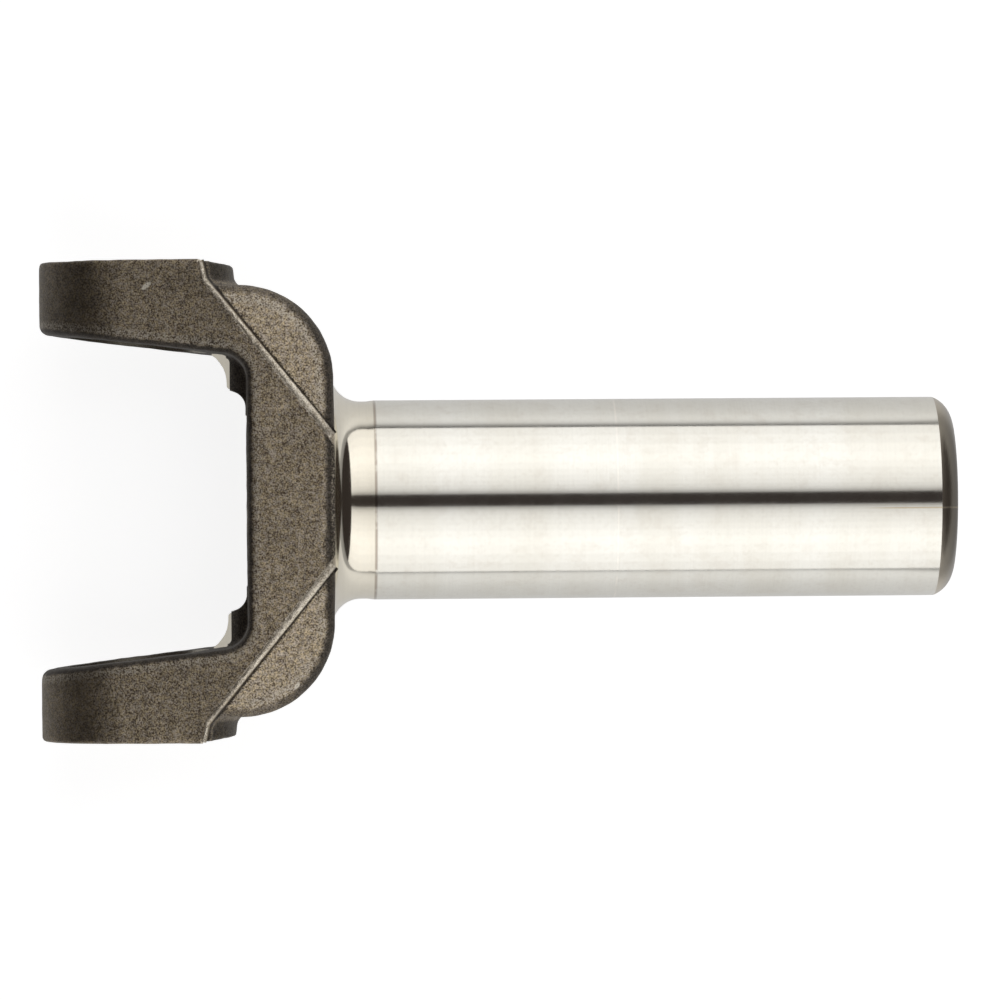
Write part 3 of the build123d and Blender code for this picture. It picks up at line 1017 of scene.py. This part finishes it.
def finish_faces(made):
    """Gives each face of the yoke its finish."""
    mesh = made.data
    count = len(mesh.polygons)
    centres, normals = np.empty(count * 3), np.empty(count * 3)
    mesh.polygons.foreach_get("center", centres)
    mesh.polygons.foreach_get("normal", normals)
    x, y, z = centres.reshape(-1, 3).T
    along_axis, along_bores = np.abs(normals.reshape(-1, 3).T[:2])
    from_barrel_axis, from_bore_axis, wide = np.hypot(y, z), np.hypot(x, z), np.abs(y)

    over_web = np.abs(z - web_slope * (x - facing_position)) - web_half_thickness
    web = (np.abs(over_web) < hair) & (along_axis > 0.5) & (along_axis < 0.9)
    ground = (x > base_position + 0.1 * mm) & (from_barrel_axis < neck_foot + hair)
    ground |= web & (x > web_start) & (x < facing_position)

    bore_radius = np.where(x > seat_floor + hair, pilot_radius, seat_radius)
    turned = (x > counterbore_position - hair) & (x < barrel_end - hair)
    turned &= from_barrel_axis < bore_radius + hair
    for position, radius in ((facing_position, facing_radius), (counterbore_position, counterbore_radius)):
        bottom = (np.abs(x - position) < hair) & (from_barrel_axis < radius) & (along_axis > 0.95)
        side = (np.abs(from_barrel_axis - radius) < hair) & (along_axis < 0.1) & (x > 0)
        turned |= bottom | side
    in_bore = (from_bore_axis < groove_radius + hair) & (wide > facing_radius)
    groove_side = (np.abs(wide - groove_start) < hair) | (np.abs(wide - groove_end) < hair)
    turned |= in_bore & ((along_bores < 0.9) | groove_side)

    index = np.full(count, skin_index)
    index[ground] = ground_index
    index[turned] = turned_index
    mesh.materials.clear()
    for material in finishes:
        mesh.materials.append(material)
    mesh.polygons.foreach_set("material_index", index.astype(np.int32))
    print("faces of each finish:", np.bincount(index).tolist())


finish_faces(yoke)
yoke.data.polygons.foreach_set("use_smooth", [True] * len(yoke.data.polygons))
yoke.data.set_sharp_from_angle(angle=sharp_angle)
for edge in yoke.data.edges:
    places = [yoke.data.vertices[end].co.x for end in edge.vertices]
    for ring in (neck_end, neck_end + neck_land, ground_start, land_end):
        if max(abs(place - ring) for place in places) < hair / 2:
            edge.use_edge_sharp = True
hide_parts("yoke")
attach(yoke, "root")

# %% [markdown]
# The soft plug that closes the bore is a dome of pressed sheet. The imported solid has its
# true shape, so it keeps its mesh and only gets a finish.

# %% The soft plug
def pressed_steel():
    """Plain pressed sheet steel."""
    material, shader, place = new_material("pressed_steel", roughness=0.38)
    cloud = place.noise(2.5 * mm, detail=3.0)
    feed(cloud.step(0.3, 0.7).blend(colour(150, 146, 136), colour(182, 178, 166)), shader, "Base Color")
    return material


plug = frame["nodes"]["core_plug"]
plug.data.materials.clear()
plug.data.materials.append(pressed_steel())
print("the plug has", len(plug.data.polygons), "faces")

# %% [markdown]
# The photograph looks straight down on the yoke as it lies, resting on its base's edge and
# on the underside of the barrel's end. The floor touches both, so it is tilted a little in
# the yoke's own frame, and the camera stands square to it.

# %% Camera
picture_size = 1000
origin_pixel = Vector((138.5, 501.7))
pixels_per_mm = 5.22
focal_pixels = 6500
camera_roll = math.radians(0.42)
contact_inset = 0.4 * mm
base_contact = Vector((base_position + contact_inset, 0, yoke_low.z))
tail_contact = Vector((land_end, 0, -barrel_radius))
lean = math.atan2(tail_contact.z - base_contact.z, tail_contact.x - base_contact.x)
distance = focal_pixels / pixels_per_mm * mm
upward = Vector((-math.sin(lean), 0, math.cos(lean)))
level = Vector((math.cos(lean), 0, math.sin(lean)))
right = level * math.cos(camera_roll) - Vector((0, 1, 0)) * math.sin(camera_roll)
up = upward.cross(right)
middle = Vector((picture_size / 2, picture_size / 2)) - origin_pixel
eye = (right * middle.x - up * middle.y) / pixels_per_mm * mm + upward * distance
camera_data = bpy.data.cameras.new("camera")
camera_data.sensor_width = 36
camera_data.lens = camera_data.sensor_width * focal_pixels / picture_size
camera = bpy.data.objects.new("camera", camera_data)
camera.matrix_world = Matrix.Translation(eye) @ Matrix((right, up, upward)).transposed().to_4x4()
bpy.context.scene.collection.objects.link(camera)
bpy.context.scene.camera = camera
print(f"lean {math.degrees(lean):.2f} degrees, lens {camera_data.lens:.0f} mm, distance {distance:.3f} m")

# %% [markdown]
# The yoke lies on a pale table. Light strong enough to turn a table white would wash out
# the steel, so the table shines by itself, and only for the camera, for glass and, less,
# for mirrors. What mirrors see of it is painted darker close to the yoke, as the yoke's
# shadow. The Light Path node tells which kind of ray asks.

# %% The table
floor_half = 0.9
floor_centre = tail_contact.lerp(base_contact, 0.5)
floor_corners = [floor_centre + level * (sx * floor_half) + Vector((0, sy * floor_half, 0))
                 for sx, sy in ((-1, -1), (1, -1), (1, 1), (-1, 1))]
floor = mesh_object("floor", floor_corners, [(0, 1, 2, 3)])
table_grey = (0.42, 0.42, 0.42, 1)
table_shine = 0.86
mirror_share = 0.66


def ray_kinds(tree, *names):
    """For each kind of ray that is named, 1 where this ray is of that kind, and 0 elsewhere."""
    path = tree.nodes.new("ShaderNodeLightPath")
    return [Shade(tree, path.outputs[f"Is {name} Ray"]) for name in names]


def seen_directly(place, tree):
    """How much the table shines: in full for the camera and glass, and dimmer for mirrors, with a painted
    shadow of the yoke close to it.
    """
    camera_ray, mirror_ray, glass_ray = ray_kinds(tree, "Camera", "Glossy", "Transmission")
    x, y, z = place.axes()
    aside = y.either(0) - y.both(0) * 0.6
    away = ((x - floor_centre.x) * (x - floor_centre.x) + aside * aside).math("SQRT")
    # Painted shadow: what mirrors see of the table is darker within about 0.13 m of the yoke's middle.
    yoke_shadow_in_mirror = 0.7 + y.size().step(0.02, 0.13) * 0.3
    ahead = 1 - x.step(barrel_end + 10 * mm, barrel_end + 35 * mm) * 0.85
    mirrored = mirror_ray * yoke_shadow_in_mirror * ahead * away.step(0.45, 0.12) * mirror_share
    return camera_ray.either(glass_ray).either(mirrored)


def floor_finish():
    """A pale table that keeps the yoke's shadow."""
    material, shader, place = new_material("pale_table", metallic=0.0, roughness=0.9)
    shader.inputs["Base Color"].default_value = table_grey
    shader.inputs["Specular IOR Level"].default_value = 0.0
    shader.inputs["Emission Strength"].default_value = table_shine
    shining = seen_directly(place, material.node_tree)
    feed(shining.blend(black, white), shader, "Emission Color")
    return material


floor.data.materials.append(floor_finish())
print("the table is", 2 * floor_half, "m wide")

# %% [markdown]
# A bright barrel is a mirror, so what matters is what stands round it. Two rows of big soft
# panels run along the barrel, one on each side, with a gap overhead that leaves the dark
# stripe along its top. They end near the fork, which darkens the ears' tips; the skin's colour
# adds painted shade there too. Each panel is a little brighter or dimmer than the next, which
# shades the barrel from its stripe to its sides; one large lamp on each side would leave it flat.

# %% Panels and world
panel_reach = 0.6
panel_start, panel_end = -0.12, 0.6
panel_edges = {1: (6, 9, 12, 16, 21, 27, 34, 42, 52, 64, 77, 90),
               -1: (8, 11, 14, 18, 23, 29, 36, 44, 54, 66, 78, 91.2)}
panel_levels = (0.45, 0.68, 0.8, 0.9, 0.97, 1.04, 1.12, 1.18, 1.14, 1.06, 0.98)
room_colour = (0.034, 0.028, 0.026, 1)


def panel(name, first, second, radiance):
    """A soft light between two edges that run along X, each edge given as (y, z)."""
    first, second = Vector((0, *first)), Vector((0, *second))
    middle = (first + second) / 2
    along = Vector((1, 0, 0))
    across = (second - first).normalized()
    behind = along.cross(across)
    if behind.dot(middle) < 0:
        across, behind = -across, -behind
    light = bpy.data.lights.new(name, "AREA")
    light.shape = "RECTANGLE"
    light.size = panel_end - panel_start
    light.size_y = (second - first).length
    light.energy = radiance * math.pi * light.size * light.size_y
    made = bpy.data.objects.new(name, light)
    turned = Matrix((along, across, behind)).transposed().to_4x4()
    made.matrix_world = Matrix.Translation(middle + along * (panel_start + panel_end) / 2) @ turned
    made.visible_camera = False
    bpy.context.scene.collection.objects.link(made)


def at_angle(degrees):
    """The place round the barrel's axis at that angle from straight up, as (y, z)."""
    turn = math.radians(degrees)
    return panel_reach * math.sin(turn), panel_reach * math.cos(turn)


for side, edges in panel_edges.items():
    for near, far, radiance in zip(edges, edges[1:], panel_levels):
        panel(f"panel_{near}_{side}", at_angle(near * side), at_angle(far * side), radiance)
print(len(panel_edges) * len(panel_levels), "panels of light")

world = bpy.data.worlds.new("studio")
world.use_nodes = True
background = world.node_tree.nodes["Background"]
camera_ray = ray_kinds(world.node_tree, "Camera")[0]
feed(camera_ray.blend(room_colour, white), background, "Color")
bpy.context.scene.world = world
bpy.context.scene.view_settings.view_transform = "Standard"
